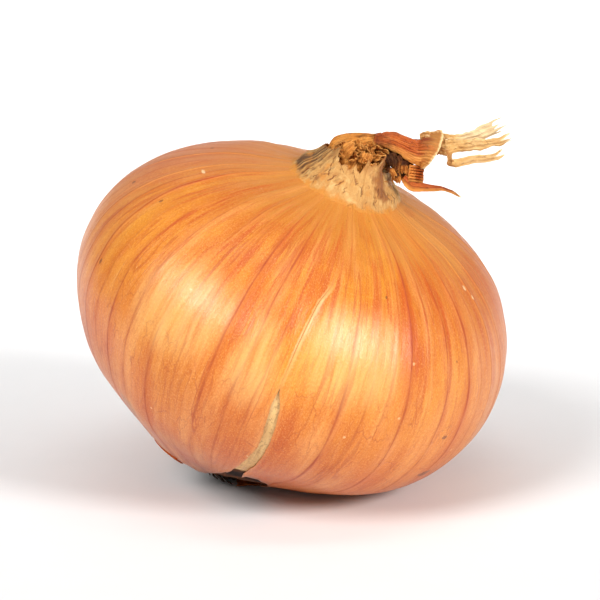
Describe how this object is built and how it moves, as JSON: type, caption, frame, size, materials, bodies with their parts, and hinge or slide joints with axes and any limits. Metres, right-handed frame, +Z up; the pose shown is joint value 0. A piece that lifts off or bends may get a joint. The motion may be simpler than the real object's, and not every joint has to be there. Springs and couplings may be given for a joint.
{
  "type": "onion",
  "caption": "Whole brown onion in its dry papery skin, lying tilted on the flank of its root end, with a torn neck collar and withered leaves bent to one side.",
  "frame": {"origin": "middle of the flattened spot of skin that the onion rests on", "axes": "+Z up from the table; the onion's axis leans 23 degrees from +Z towards 18.6 degrees clockwise of +X, seen from above; -Y is the side with the split in the skin"},
  "size_m": [0.0781, 0.08, 0.0701],
  "materials": {
    "inner_skin": "satin, pale straw-green inner skin over the flesh",
    "outer_skin": "satin dry skin, orange with darker veins from neck to root",
    "collar_skin": "matt bleached skin, cream with brown cracks",
    "neck_tissue": "matt, fibrous, brown",
    "brown_leaf": "satin dry leaf, reddish brown, finely ribbed",
    "straw_leaf": "matt dry leaf, straw yellow, finely ribbed",
    "roots": "matt, corky, dark brown",
    "brown_flap": "satin dry skin, dark reddish brown"
  },
  "bodies": {
    "root": {"bulb": "inner_skin", "outer_skin": "outer_skin", "neck_collar": "collar_skin", "neck_sheath": "neck_tissue", "bent_leaf": "brown_leaf", "straw_leaf_front": "straw_leaf", "straw_leaf_back": "straw_leaf", "curled_strip": "straw_leaf", "pleated_fold": "brown_leaf", "pointed_shred": "brown_leaf", "torn_flake_1": "neck_tissue", "torn_flake_2": "neck_tissue", "torn_flake_3": "neck_tissue", "torn_flake_4": "neck_tissue", "root_plate": "roots", "dead_root_1": "roots", "dead_root_2": "roots", "dead_root_3": "roots", "dead_root_4": "roots", "dead_root_5": "roots", "dead_root_6": "roots", "dead_root_7": "roots", "root_flap_front": "brown_flap", "root_flap_left": "brown_flap"}
  },
  "joints": []
}
